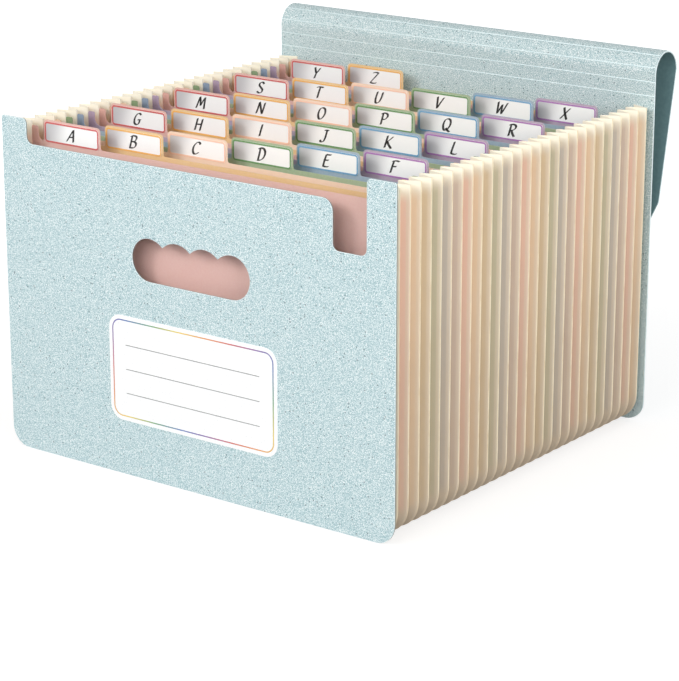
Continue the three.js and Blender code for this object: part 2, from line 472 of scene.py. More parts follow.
@dataclass(frozen=True)
class CutEdgeFinish:
    """Cut edge of the moulded sheet, with faint knife marks. Its default colour is a painted highlight,
    the pale colour of a lit rim; the walls wear a dark copy as painted shade.
    """

    name: str
    # Painted highlight of a lit rim.
    colour: Colour = srgb(230, 243, 244)
    shade: Colour = srgb(208, 228, 231)
    knife: Grain = Grain(420.0, 4.0, 0.6)
    marked: Band = Band(0.35, 0.75)
    relief: Relief = Relief(0.00006, 0.4)
    roughness: float = 0.42

    def material(self) -> bpy.types.Material:
        """Makes the finish.

        Returns:
            The material.
        """
        graph = NodeGraph(self.name, self.colour, self.roughness)
        marks = graph.noise(self.knife)
        graph.paint(graph.mix(graph.band(marks, self.marked), self.colour, self.shade))
        graph.bump(marks, self.relief)
        return graph.material


@dataclass(frozen=True)
class DividerFinish:
    """Frosted coloured film of a divider sheet, with painted shade on the ears that stand between the
    pleats.
    """

    name: str
    colour: Colour
    # Painted shade: the ears' colour as they look between the pleats.
    painted_shade_colour: Colour
    pale: Colour = srgb(252, 246, 232)
    frost: Grain = Grain(700.0, 4.0, 0.65)
    frost_share: float = 0.22
    cloud: Grain = Grain(22.0, 2.0, 0.5)
    cloud_share: float = 0.12
    ear: Band = Band(0.1405, 0.1430)
    relief: Relief = Relief(0.00008, 0.5)
    scatter_weight: float = 0.15
    scatter_depth: tuple[float, float, float] = (0.004, 0.003, 0.002)
    roughness: float = 0.5

    def material(self) -> bpy.types.Material:
        """Makes the finish.

        Returns:
            The material.
        """
        graph = NodeGraph(self.name, self.colour, self.roughness)
        across, _, _ = graph.axes()
        frost = graph.noise(self.frost)
        frost_share = graph.math("MULTIPLY", frost, self.frost_share)
        cloud_share = graph.math("MULTIPLY", graph.noise(self.cloud), self.cloud_share)
        colour = graph.mix(frost_share, self.colour, self.pale)
        colour = graph.mix(cloud_share, colour, self.pale)
        # Painted shade on the ears that stand between the pleats.
        ear = graph.band(graph.math("ABSOLUTE", across), self.ear)
        graph.paint(graph.mix(ear, colour, self.painted_shade_colour))
        graph.bump(frost, self.relief)
        graph.scatter(self.scatter_weight, self.scatter_depth)
        return graph.material


@dataclass(frozen=True)
class GussetFilmFinish:
    """Frosted cream film with painted light and shade: each divider's colour painted where the divider is
    welded in, for the divider seen through the film and the shade in the pleat's valley, painted shade
    towards the foot and a painted glow along the top.
    """

    name: str
    pitch: float
    first_fold_y: float
    fold_x: float
    fold_z: float
    depth: float
    top: float
    cream: Colour = srgb(242, 224, 199)
    # Painted shade towards the foot and over the lower part.
    painted_shade_colour: Colour = srgb(178, 158, 132)
    # Painted glow along the top; the random clouds also carry this pale colour.
    rim: Colour = srgb(255, 247, 226)
    # Where the painted divider colour and valley shade are strongest.
    weld: Band = Band(0.15, 0.23)
    tint_spread: float = 0.35
    tint_share: float = 0.75
    tint_foot: Band = Band(0.014, 0.022)
    tint_top: Band = Band(0.003, 0.013)
    # Bands of painted shade: at the foot and over the lower part.
    foot: Band = Band(0.024, 0.002, 0.5)
    lower: Band = Band(0.21, 0.0, 0.4)
    # Painted glow just under the top.
    lit: Band = Band(0.012, 0.001)
    cloud: Grain = Grain(30.0, 3.0, 0.55)
    cloud_share: float = 0.14
    skin: Grain = Grain(520.0, 4.0, 0.6)
    relief: Relief = Relief(0.00008, 0.4)
    scatter_weight: float = 0.15
    scatter_depth: tuple[float, float, float] = (0.008, 0.006, 0.004)
    roughness: float = 0.42

    def material(self) -> bpy.types.Material:
        """Makes the finish.

        Returns:
            The material.
        """
        graph = NodeGraph(self.name, self.cream, self.roughness)
        _, along, height = graph.axes()
        below_top = graph.math("SUBTRACT", self.top, height)
        tint_share = graph.math("MULTIPLY", self.tinted(graph), self.tint_share)
        cloud_share = graph.math("MULTIPLY", graph.noise(self.cloud), self.cloud_share)
        # Painted show-through of the divider and painted valley shade.
        colour = graph.mix(tint_share, self.cream, self.tint(graph, along))
        # Painted shade at the foot and towards the bottom.
        colour = graph.mix(graph.band(height, self.foot), colour, self.painted_shade_colour)
        colour = graph.mix(graph.band(height, self.lower), colour, self.painted_shade_colour)
        colour = graph.mix(cloud_share, colour, self.rim)
        # Painted glow along the top.
        colour = graph.mix(graph.band(below_top, self.lit), colour, self.rim)
        graph.paint(colour)
        graph.bump(graph.noise(self.skin), self.relief)
        graph.scatter(self.scatter_weight, self.scatter_depth)
        return graph.material

    def tint(self, graph: NodeGraph, along: bpy.types.NodeSocket) -> bpy.types.NodeSocket:
        """Colour of the divider that is nearest along the organizer.

        Args:
            graph: The material's nodes.
            along: The y coordinate.

        Returns:
            The colour.
        """
        colours = list(SheetColour)
        fold = graph.math("DIVIDE", graph.math("SUBTRACT", along, self.first_fold_y), self.pitch)
        number = graph.math("SUBTRACT", graph.math("ROUND", fold), 1.0)
        step = graph.math("FLOORED_MODULO", number, float(len(colours)))
        place = graph.math("DIVIDE", graph.math("ADD", step, 0.5), float(len(colours)))
        stops = [(i / len(colours), colour.tint) for i, colour in enumerate(colours)]
        return graph.ramp(place, stops, stepped=True)

    def tinted(self, graph: NodeGraph) -> bpy.types.NodeSocket:
        """How far the painted divider colour and valley shade show: most at its weld, less over the pleat,
        none at top and foot.

        Args:
            graph: The material's nodes.

        Returns:
            The share.
        """
        across, _, height = graph.axes()
        side = graph.math("SUBTRACT", self.fold_x, graph.math("ABSOLUTE", across))
        under = graph.math("SUBTRACT", height, self.fold_z)
        inward = graph.math("DIVIDE", graph.math("MINIMUM", side, under), self.depth)
        at_weld = graph.band(inward, self.weld)
        spread = graph.math("MULTIPLY_ADD", at_weld, 1 - self.tint_spread, self.tint_spread)
        above_foot = graph.band(height, self.tint_foot)
        below_top = graph.band(graph.math("SUBTRACT", self.top, height), self.tint_top)
        return graph.math("MULTIPLY", graph.math("MULTIPLY", spread, above_foot), below_top)


@dataclass(frozen=True)
class FoldBeadFinish:
    """Rounded outer crease of the film, painted brighter than the film as a painted highlight, with
    painted shade towards its foot.
    """

    name: str
    # Painted highlight of the fold.
    colour: Colour = srgb(250, 238, 208)
    worn: Colour = srgb(232, 214, 178)
    # Painted shade at the foot, where the highlight fades.
    painted_foot_shade: Colour = srgb(212, 192, 164)
    wear: Grain = Grain(55.0, 4.0, 0.6)
    rubbed: Band = Band(0.40, 0.72)
    foot: Band = Band(0.026, 0.012, 0.9)
    skin: Grain = Grain(400.0, 3.0, 0.6)
    relief: Relief = Relief(0.00006, 0.3)
    roughness: float = 0.32

    def material(self) -> bpy.types.Material:
        """Makes the finish.

        Returns:
            The material.
        """
        graph = NodeGraph(self.name, self.colour, self.roughness)
        _, _, height = graph.axes()
        rubbed = graph.band(graph.noise(self.wear), self.rubbed)
        colour = graph.mix(rubbed, self.colour, self.worn)
        # Painted shade towards the foot.
        graph.paint(graph.mix(graph.band(height, self.foot), colour, self.painted_foot_shade))
        graph.bump(graph.noise(self.skin), self.relief)
        return graph.material


@dataclass(frozen=True)
class LabelPaperFinish:
    """White label behind a clear tab, with painted shade: bright at the right, painted grey towards its
    left end.
    """

    name: str
    left: float
    width: float
    base: float
    height: float
    paper: Colour = srgb(252, 252, 250)
    # Grey of the painted shade towards the left end, also carried by the fibre.
    shade: Colour = srgb(160, 157, 162)
    slant: float = 0.10
    painted_left_shade: Band = Band(0.42, 0.0, 0.65)
    fibre: Grain = Grain(900.0, 3.0, 0.6)
    fibre_share: float = 0.05
    relief: Relief = Relief(0.00003, 0.3)
    roughness: float = 0.38

    def material(self) -> bpy.types.Material:
        """Makes the finish.

        Returns:
            The material.
        """
        graph = NodeGraph(self.name, self.paper, self.roughness)
        across, _, height = graph.axes()
        place = graph.math("DIVIDE", graph.math("SUBTRACT", across, self.left), self.width)
        rise = graph.math("DIVIDE", graph.math("SUBTRACT", height, self.base), self.height)
        slanted = graph.math("SUBTRACT", place, graph.math("MULTIPLY", rise, self.slant))
        fibre = graph.noise(self.fibre)
        # Painted shade towards the left end.
        colour = graph.mix(graph.band(slanted, self.painted_left_shade), self.paper, self.shade)
        colour = graph.mix(graph.math("MULTIPLY", fibre, self.fibre_share), colour, self.shade)
        graph.paint(colour)
        graph.bump(fibre, self.relief)
        return graph.material


@dataclass(frozen=True)
class PaperFinish:
    """Smooth white label paper."""

    name: str
    paper: Colour = srgb(253, 253, 253)
    shade: Colour = srgb(236, 237, 238)
    fibre: Grain = Grain(800.0, 4.0, 0.6)
    shaded: Band = Band(0.45, 0.80)
    relief: Relief = Relief(0.00003, 0.3)
    roughness: float = 0.5

    def material(self) -> bpy.types.Material:
        """Makes the finish.

        Returns:
            The material.
        """
        graph = NodeGraph(self.name, self.paper, self.roughness)
        fibre = graph.noise(self.fibre)
        graph.paint(graph.mix(graph.band(fibre, self.shaded), self.paper, self.shade))
        graph.bump(fibre, self.relief)
        return graph.material


@dataclass(frozen=True)
class PrintFinish:
    """Printed ink, a little uneven in its cover."""

    name: str
    ink: Colour
    cover: Grain = Grain(600.0, 4.0, 0.6)
    thin: Band = Band(0.40, 0.80, 0.10)
    roughness: float = 0.45

    def material(self) -> bpy.types.Material:
        """Makes the finish.

        Returns:
            The material.
        """
        graph = NodeGraph(self.name, self.ink, self.roughness)
        thin = graph.band(graph.noise(self.cover), self.thin)
        graph.paint(graph.mix(thin, self.ink, WHITE))
        return graph.material


@dataclass(frozen=True)
class RainbowPrintFinish:
    """Hairline whose colour runs through the rainbow, round and round the label."""

    name: str
    start: float = 0.2
    rounds: float = 3.0
    roughness: float = 0.45

    def material(self) -> bpy.types.Material:
        """Makes the finish.

        Returns:
            The material.
        """
        hues = [
            srgb(204, 88, 84),
            srgb(222, 146, 74),
            srgb(228, 204, 96),
            srgb(96, 156, 104),
            srgb(82, 118, 178),
            srgb(128, 86, 160),
            srgb(204, 88, 84),
        ]
        graph = NodeGraph(self.name, hues[0], self.roughness)
        spot = graph.tree.nodes.new("ShaderNodeTexCoord").outputs["UV"]
        around = graph.put("ShaderNodeSeparateXYZ", {"Vector": spot}).outputs[0]
        run = graph.math("FRACT", graph.math("MULTIPLY_ADD", around, self.rounds, self.start))
        graph.paint(graph.ramp(run, [(i / (len(hues) - 1), hue) for i, hue in enumerate(hues)]))
        return graph.material


@dataclass(frozen=True)
class Repeat:
    """A row: its copies, their spacing and finish, how they flutter and how near points are welded."""

    count: int
    step: tuple[float, float, float]
    finish: bpy.types.Material
    flutter: float = 0.0
    flutter_scale: float = 1.0
    weld: float = 0.0


class RowTree:
    """Geometry Nodes tree that repeats a mesh in a row, lets it flutter and finishes it."""

    noise_middle: float = 0.5
    inputs: dict[str, str] = {
        "Count": "NodeSocketInt",
        "Step": "NodeSocketVector",
        "Flutter": "NodeSocketFloat",
        "Flutter Scale": "NodeSocketFloat",
        "Weld Distance": "NodeSocketFloat",
        "Finish": "NodeSocketMaterial",
    }

    def __init__(self, name: str) -> None:
        """Builds the tree.

        Args:
            name: The tree's name.
        """
        self.tree = bpy.data.node_groups.new(name, "GeometryNodeTree")
        face = self.tree.interface
        face.new_socket(name="Mesh", in_out="INPUT", socket_type="NodeSocketGeometry")
        face.new_socket(name="Row", in_out="OUTPUT", socket_type="NodeSocketGeometry")
        self.ids = {}
        for title, kind in self.inputs.items():
            self.ids[title] = face.new_socket(name=title, in_out="INPUT", socket_type=kind).identifier
        self.wire()

    def wire(self) -> None:
        """Adds the nodes and their links."""
        nodes = self.tree.nodes
        link = self.tree.links.new
        source = nodes.new("NodeGroupInput")
        row = nodes.new("GeometryNodeMeshLine")
        copies = nodes.new("GeometryNodeInstanceOnPoints")
        real = nodes.new("GeometryNodeRealizeInstances")
        weld = nodes.new("GeometryNodeMergeByDistance")
        place = nodes.new("GeometryNodeInputPosition")
        noise = nodes.new("ShaderNodeTexNoise")
        centred = nodes.new("ShaderNodeMath")
        centred.operation = "SUBTRACT"
        centred.inputs[1].default_value = self.noise_middle
        amount = nodes.new("ShaderNodeMath")
        amount.operation = "MULTIPLY"
        sway = nodes.new("ShaderNodeCombineXYZ")
        move = nodes.new("GeometryNodeSetPosition")
        finish = nodes.new("GeometryNodeSetMaterial")
        result = nodes.new("NodeGroupOutput")
        link(source.outputs["Count"], row.inputs["Count"])
        link(source.outputs["Step"], row.inputs["Offset"])
        link(row.outputs[0], copies.inputs["Points"])
        link(source.outputs["Mesh"], copies.inputs["Instance"])
        link(copies.outputs[0], real.inputs[0])
        link(real.outputs[0], weld.inputs["Geometry"])
        link(source.outputs["Weld Distance"], weld.inputs["Distance"])
        link(place.outputs[0], noise.inputs["Vector"])
        link(source.outputs["Flutter Scale"], noise.inputs["Scale"])
        link(noise.outputs[0], centred.inputs[0])
        link(centred.outputs[0], amount.inputs[0])
        link(source.outputs["Flutter"], amount.inputs[1])
        link(amount.outputs[0], sway.inputs["Y"])
        link(weld.outputs[0], move.inputs["Geometry"])
        link(sway.outputs[0], move.inputs["Offset"])
        link(move.outputs[0], finish.inputs["Geometry"])
        link(source.outputs["Finish"], finish.inputs["Material"])
        link(finish.outputs[0], result.inputs[0])

    def run(self, piece: bpy.types.Object, repeat: Repeat) -> bpy.types.Object:
        """Repeats a piece's mesh and turns the result into its plain mesh.

        Args:
            piece: The piece that holds one copy.
            repeat: The row.

        Returns:
            The piece, holding the whole row.
        """
        modifier = piece.modifiers.new("row", "NODES")
        modifier.node_group = self.tree
        values = {
            "Count": repeat.count,
            "Step": repeat.step,
            "Flutter": repeat.flutter,
            "Flutter Scale": repeat.flutter_scale,
            "Weld Distance": repeat.weld,
            "Finish": repeat.finish,
        }
        for title, value in values.items():
            modifier[self.ids[title]] = value
        graph = bpy.context.evaluated_depsgraph_get()
        whole = bpy.data.meshes.new_from_object(piece.evaluated_get(graph))
        piece.modifiers.clear()
        piece.data = whole
        return piece


def place_mesh(name: str, mesh: bpy.types.Mesh) -> bpy.types.Object:
    """Puts a mesh in the scene as a piece at the origin.

    Args:
        name: The piece's name.
        mesh: Its mesh.

    Returns:
        The new object.
    """
    piece = bpy.data.objects.new(name, mesh)
    bpy.context.scene.collection.objects.link(piece)
    return piece


def mesh_of(name: str, points: list[Vector], faces: list[tuple[int, ...]]) -> bpy.types.Mesh:
    """Mesh from points and faces.

    Args:
        name: The mesh's name.
        points: Vertex positions.
        faces: Vertex numbers of each face.

    Returns:
        The mesh.
    """
    mesh = bpy.data.meshes.new(name)
    mesh.from_pydata([tuple(point) for point in points], [], faces)
    mesh.update()
    return mesh


def face_outwards(mesh: bpy.types.Mesh) -> None:
    """Turns a closed mesh's faces outwards.

    Args:
        mesh: The mesh.
    """
    shape = bmesh.new()
    shape.from_mesh(mesh)
    bmesh.ops.recalc_face_normals(shape, faces=shape.faces)
    shape.to_mesh(mesh)
    shape.free()


def dress(mesh: bpy.types.Mesh, finishes: list[bpy.types.Material]) -> None:
    """Gives a mesh its materials in slot order.

    Args:
        mesh: The mesh.
        finishes: The materials.
    """
    mesh.materials.clear()
    for finish in finishes:
        mesh.materials.append(finish)


def soften(mesh: bpy.types.Mesh, sharp_degrees: float) -> None:
    """Smooth shading that keeps edges over an angle sharp.

    Args:
        mesh: The mesh.
        sharp_degrees: The angle.
    """
    mesh.shade_smooth()
    mesh.set_sharp_from_angle(angle=math.radians(sharp_degrees))


def arc_points(centre: Point, radius: float, start: float, turn: float, steps: int) -> list[Point]:
    """Points of an arc, both ends included.

    Args:
        centre: The arc's centre.
        radius: Its radius.
        start: Angle of its first point.
        turn: Signed angle that it runs through.
        steps: Number of its segments.

    Returns:
        The points.
    """
    angles = [start + turn * i / steps for i in range(steps + 1)]
    return [(centre[0] + radius * math.cos(a), centre[1] + radius * math.sin(a)) for a in angles]


def round_corners(corners: list[tuple[float, float, float]], steps: int = 8) -> list[Point]:
    """Closed outline through corners that are each rounded to their radius.

    Args:
        corners: x, height and radius of each corner.
        steps: Segments in each rounded corner.

    Returns:
        The outline's points.
    """
    points = []
    for i, (x, z, radius) in enumerate(corners):
        corner = Vector((x, z))
        if radius == 0:
            points.append((x, z))
            continue
        before = (Vector(corners[i - 1][:2]) - corner).normalized()
        after = (Vector(corners[(i + 1) % len(corners)][:2]) - corner).normalized()
        half = before.angle(after) / 2
        centre = corner + (before + after).normalized() * (radius / math.sin(half))
        first = corner + before * (radius / math.tan(half)) - centre
        last = corner + after * (radius / math.tan(half)) - centre
        start = math.atan2(first.y, first.x)
        turn = math.remainder(math.atan2(last.y, last.x) - start, 2 * math.pi)
        points.extend(arc_points((centre.x, centre.y), radius, start, turn, steps))
    return points


def frame_band(
    name: str,
    size: Point,
    radius: float,
    band: float,
    corner: Point,
    y: float,
) -> bpy.types.Mesh:
    """Flat band that follows the edge of a rounded rectangle, facing the front.

    Args:
        name: The mesh's name.
        size: Outer width and height.
        radius: Outer corner radius.
        band: Width of the band.
        corner: Lower left corner, as x and height.
        y: Where the band lies.

    Returns:
        The mesh.
    """
    loops = []
    for inset in (0.0, band):
        left, low = corner[0] + inset, corner[1] + inset
        right, high = corner[0] + size[0] - inset, corner[1] + size[1] - inset
        spots = [(left, low), (right, low), (right, high), (left, high)]
        loops.append(round_corners([(x, z, radius - inset) for x, z in spots]))
    count = len(loops[0])
    points = [Vector((x, y, z)) for loop in loops for x, z in loop]
    faces = [(i, (i + 1) % count, count + (i + 1) % count, count + i) for i in range(count)]
    return mesh_of(name, points, faces)


def map_around(mesh: bpy.types.Mesh) -> None:
    """Maps a flat band so that its U runs from 0 to 1 once round the band.

    Args:
        mesh: The band, whose outer loop comes first in its points.
    """
    count = len(mesh.polygons)
    spots = [mesh.vertices[i % count].co for i in range(count + 1)]
    shares = [0.0]
    for before, after in zip(spots, spots[1:]):
        shares.append(shares[-1] + (after - before).length)
    layer = mesh.uv_layers.new(name="around")
    for i, face in enumerate(mesh.polygons):
        for side, u in enumerate((i, i + 1, i + 1, i)):
            layer.data[face.loop_start + side].uv = (shares[u] / shares[-1], float(side > 1))


@dataclass
class Finishes:
    """The materials that more than one piece wears."""

    cover: bpy.types.Material
    inside: bpy.types.Material
    rear: bpy.types.Material
    cut_edge: bpy.types.Material
    cut_wall: bpy.types.Material
    paper: bpy.types.Material
    ink: bpy.types.Material
    rule: bpy.types.Material

    @classmethod
    def make(cls) -> "Finishes":
        """Makes the shared materials.

        Returns:
            The materials.
        """
        return cls(
            cover=SpeckledSheetFinish("speckled_cover", srgb(181, 207, 211)).material(),
            inside=SpeckledSheetFinish("speckled_inside", srgb(176, 197, 198), contrast=0.92).material(),
            # Painted shade: the rear side's darker colour.
            rear=PaintedRearShadeFinish("cover_painted_rear_shade").material(),
            # Painted highlight: the pale colour of a lit rim on cut edges and scored lines.
            cut_edge=CutEdgeFinish("cover_cut_edge").material(),
            # Painted shade: a dark copy of the cut edge finish for the cut walls.
            cut_wall=CutEdgeFinish("cover_cut_wall", srgb(118, 132, 129), srgb(100, 113, 111)).material(),
            paper=PaperFinish("label_paper").material(),
            ink=PrintFinish("letter_ink", srgb(28, 26, 26)).material(),
            rule=PrintFinish("ruled_line_ink", srgb(118, 118, 120)).material(),
        )


@dataclass
class FrontCover:
    """Front cover with its hand hole, its rounded cut edge and its blank ruled label."""

    finishes: Finishes
    label_width: float = 0.1436
    label_height: float = 0.0742
    label_floor: float = 0.0388
    label_radius: float = 0.010
    print_rise: float = 0.0001
    edge_round: float = 0.00028
    merge_distance: float = 0.000001
    flat_degrees: float = 0.5
    rim_degrees: float = 50.0
    sharp_degrees: float = 12.0
    wall_slope: float = 0.5
    rear_slope: float = 0.1
    hairline_inset: float = 0.0029
    hairline_width: float = 0.0008
    rule_left: float = -0.0574
    rule_right: float = 0.0572
    rule_heights: tuple[float, ...] = (0.0585, 0.0755, 0.0925)
    rule_width: float = 0.0005

    def __post_init__(self) -> None:
        """Reads the cover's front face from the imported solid."""
        self.label_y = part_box("front_cover")[0].y
        self.face_y = self.label_y + LABEL_RISE

    def build(self, row: RowTree) -> list[bpy.types.Object]:
        """Builds the cover and the print on its label.

        Args:
            row: The tree that repeats the ruled lines.

        Returns:
            The pieces.
        """
        cover = self.sheet()
        pieces = [self.hairline(), self.rules(row)]
        for piece in [cover, *pieces]:
            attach(piece, HOLDER)
        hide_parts("front_cover")
        return [cover, *pieces]

    def sheet(self) -> bpy.types.Object:
        """The cover's sheet with rounded edges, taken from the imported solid.

        Returns:
            The piece.
        """
        flat = math.radians(self.flat_degrees)
        shape = bmesh.new()
        shape.from_mesh(frame["nodes"]["front_cover"].data)
        bmesh.ops.remove_doubles(shape, verts=shape.verts, dist=self.merge_distance)
        bmesh.ops.dissolve_limit(shape, angle_limit=flat, verts=shape.verts, edges=shape.edges)
        for vertex in shape.verts:
            if vertex.co.y < self.face_y - LABEL_RISE / 2:
                vertex.co.y += self.print_rise
        shape.normal_update()
        for face in shape.faces:
            face.material_index = self.side_slot(face)
        rims = [
            edge for edge in shape.edges
            if len(edge.link_faces) == 2
            and edge.calc_face_angle(0.0) > math.radians(self.rim_degrees)
            and all(face.material_index != CoverSlot.LABEL for face in edge.link_faces)
        ]
        # The rounded rims wear the painted rim highlight.
        bmesh.ops.bevel(
            shape,
            geom=rims,
            offset=self.edge_round,
            segments=2,
            profile=0.5,
            affect="EDGES",
            material=CoverSlot.RIM,
            clamp_overlap=True,
        )
        shape.normal_update()
        # Rim faces turned to the back wear the painted wall shade.
        for face in shape.faces:
            if face.material_index == CoverSlot.RIM and face.normal.y > self.rear_slope:
                face.material_index = CoverSlot.WALL
        mesh = bpy.data.meshes.new("front_cover_sheet")
        kit = self.finishes
        dress(mesh, [kit.cover, kit.cut_edge, kit.paper, kit.cut_wall])
        shape.to_mesh(mesh)
        shape.free()
        soften(mesh, self.sharp_degrees)
        return place_mesh("front_cover_sheet", mesh)

    def side_slot(self, face: bmesh.types.BMFace) -> CoverSlot:
        """Tells which finish a face of the cover wears before its edges are rounded.

        Args:
            face: The face.

        Returns:
            The slot.
        """
        if min(vertex.co.y for vertex in face.verts) < self.face_y - LABEL_RISE / 4:
            return CoverSlot.LABEL
        # Cut walls wear the painted wall shade.
        return CoverSlot.WALL if abs(face.normal.y) < self.wall_slope else CoverSlot.FACE

    def hairline(self) -> bpy.types.Object:
        """The rainbow hairline inside the label's edge.

        Returns:
            The piece.
        """
        inset = self.hairline_inset
        mesh = frame_band(
            "label_hairline",
            (self.label_width - 2 * inset, self.label_height - 2 * inset),
            self.label_radius - inset,
            self.hairline_width,
            (-self.label_width / 2 + inset, self.label_floor + inset),
            self.label_y,
        )
        map_around(mesh)
        dress(mesh, [RainbowPrintFinish("rainbow_print").material()])
        return place_mesh("label_hairline", mesh)

    def rules(self, row: RowTree) -> bpy.types.Object:
        """The ruled writing lines, repeated up the label.

        Args:
            row: The tree that repeats the line.

        Returns:
            The piece.
        """
        low = self.rule_heights[0] - self.rule_width / 2
        high = low + self.rule_width
        points = [
            Vector((self.rule_left, self.label_y, low)),
            Vector((self.rule_right, self.label_y, low)),
            Vector((self.rule_right, self.label_y, high)),
            Vector((self.rule_left, self.label_y, high)),
        ]
        piece = place_mesh("label_rules", mesh_of("label_rules", points, [(0, 1, 2, 3)]))
        step = self.rule_heights[1] - self.rule_heights[0]
        return row.run(piece, Repeat(len(self.rule_heights), (0.0, 0.0, step), self.finishes.rule))


@dataclass
class GussetBellows:
    """Pleated film bent round the sides and the bottom, with a rounded bead along each outer fold."""

    pocket_count: int = 27
    film: float = 0.0004
    depth: float = 0.013
    land: float = 0.001
    belly: float = 0.52
    tip_round: float = 0.0007
    tip_flat: float = 0.35
    tip_rise: float = 0.22
    tip_lift: float = 0.0002
    corner: float = 0.020
    corner_steps: int = 12
    straight_steps: int = 8
    top: float = 0.2312
    cover_thickness: float = 0.0012
    cover_spacing: float = 0.3058
    inset: float = 0.0022
    floor_gap: float = 0.0004
    bead_radius: float = 0.00037
    bead_sides: int = 6
    bead_lift: float = 0.00012
    flutter: float = 0.0004
    flutter_scale: float = 26.0
    weld_distance: float = 0.00002
    sharp_degrees: float = 50.0

    def __post_init__(self) -> None:
        """Works out the folds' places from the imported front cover."""
        face_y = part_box("front_cover")[0].y + LABEL_RISE
        self.first_fold_y = face_y + self.cover_thickness + self.film / 2
        self.pitch = (self.cover_spacing - self.film) / self.pocket_count
        slope = math.atan((self.pitch - self.land) / 2 / self.depth)
        tip = self.film / 2 / math.sin(slope)
        self.fold_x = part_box("front_cover")[1].x - self.inset - tip
        self.fold_z = self.floor_gap + tip

    def finish(self) -> bpy.types.Material:
        """Makes the film's material.

        Returns:
            The material.
        """
        return GussetFilmFinish(
            "gusset_film",
            self.pitch,
            self.first_fold_y,
            self.fold_x,
            self.fold_z,
            self.depth,
            self.top,
        ).material()

    def path(self, inward: float) -> list[Vector]:
        """Path down one side, round the corners and up the other, at a depth behind the folds.

        Args:
            inward: The depth.

        Returns:
            Points in the XZ plane, as x, 0 and z.
        """
        bend_x = self.fold_x - self.corner
        bend_z = self.fold_z + self.corner
        reach = self.corner - inward
        left = [
            Vector((-bend_x - reach, 0, self.top + (bend_z - self.top) * i / self.straight_steps))
            for i in range(self.straight_steps)
        ]
        bends = []
        for x, start in ((-bend_x, math.pi), (bend_x, 1.5 * math.pi)):
            for px, pz in arc_points((x, bend_z), reach, start, math.pi / 2, self.corner_steps):
                bends.append(Vector((px, 0, pz)))
        right = [Vector((-point.x, 0, point.z)) for point in reversed(left)]
        return left + bends + right

    def pleat_line(self) -> list[Point]:
        """Middle line of one pleat.

        Returns:
            Points, as distance from its front fold and depth.
        """
        half = self.pitch / 2
        edge = self.land / 2
        run = half - edge
        start = self.tip_round * run / math.hypot(run, self.depth) * 2
        rise = self.tip_round * self.depth / math.hypot(run, self.depth) * 2
        flat = start * self.tip_flat
        return [
            (0.0, self.depth),
            (edge, self.depth),
            (edge + run / 2, self.depth * self.belly),
            (half - start, rise),
            (half - flat, rise * self.tip_rise),
            (half, self.tip_lift),
            (half + flat, rise * self.tip_rise),
            (half + start, rise),
            (half + edge + run / 2, self.depth * self.belly),
            (self.pitch - edge, self.depth),
            (self.pitch, self.depth),
        ]

    def section(self, line: list[Point]) -> list[Point]:
        """Closed section of the film along a middle line.

        Args:
            line: The middle line.

        Returns:
            The section's points.
        """
        sides: tuple[list[Point], list[Point]] = ([], [])
        level = Vector((1.0, 0.0))
        for i, point in enumerate(line):
            here = Vector(point)
            before = (here - Vector(line[i - 1])).normalized() if i else level
            after = (Vector(line[i + 1]) - here).normalized() if i + 1 < len(line) else level
            turn = Vector((-before.y - after.y, before.x + after.x)) / (1 + before.dot(after))
            for side, sign in zip(sides, (-1, 1)):
                offset = here + turn * (sign * self.film / 2)
                side.append((offset.x, offset.y))
        return sides[0] + sides[1][::-1]

    def swept(self, name: str, section: list[Point]) -> bpy.types.Object:
        """Sweeps a section from the first fold down one side, round the bottom and up the other side.

        Args:
            name: The piece's name.
            section: Distance along Y and depth behind the folds of each section point.

        Returns:
            The piece.
        """
        paths = [self.path(inward) for _, inward in section]
        count = len(section)
        stations = len(paths[0])
        points = []
        for station in range(stations):
            for path, (along, _) in zip(paths, section):
                points.append(path[station] + Vector((0, self.first_fold_y + along, 0)))
        faces = []
        for station in range(stations - 1):
            for i in range(count):
                a = station * count + i
                b = station * count + (i + 1) % count
                faces.append((a, a + count, b + count, b))
        faces.append(tuple(range(count)))
        faces.append(tuple(reversed(range((stations - 1) * count, stations * count))))
        mesh = mesh_of(name, points, faces)
        face_outwards(mesh)
        return place_mesh(name, mesh)

    def build(self, row: RowTree) -> list[bpy.types.Object]:
        """Builds the film and the beads.

        Args:
            row: The tree that repeats a pleat.

        Returns:
            The pieces.
        """
        middle = (self.pitch / 2, self.bead_lift)
        ring = arc_points(middle, self.bead_radius, 0.0, 2 * math.pi, self.bead_sides)[:-1]
        film = self.swept("gusset_film", self.section(self.pleat_line()))
        beads = self.swept("gusset_fold_beads", ring)
        bead_finish = FoldBeadFinish("gusset_fold").material()
        row.run(film, self.repeat(self.finish(), self.weld_distance))
        row.run(beads, self.repeat(bead_finish, 0.0))
        for piece in (film, beads):
            soften(piece.data, self.sharp_degrees)
            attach(piece, HOLDER)
        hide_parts("gusset_bellows")
        return [film, beads]

    def repeat(self, finish: bpy.types.Material, weld: float) -> Repeat:
        """Row of one pleat's pieces over all the pockets.

        Args:
            finish: What the pieces wear.
            weld: How near two points are joined.

        Returns:
            The row.
        """
        step = (0.0, self.pitch, 0.0)
        return Repeat(self.pocket_count, step, finish, self.flutter, self.flutter_scale, weld)


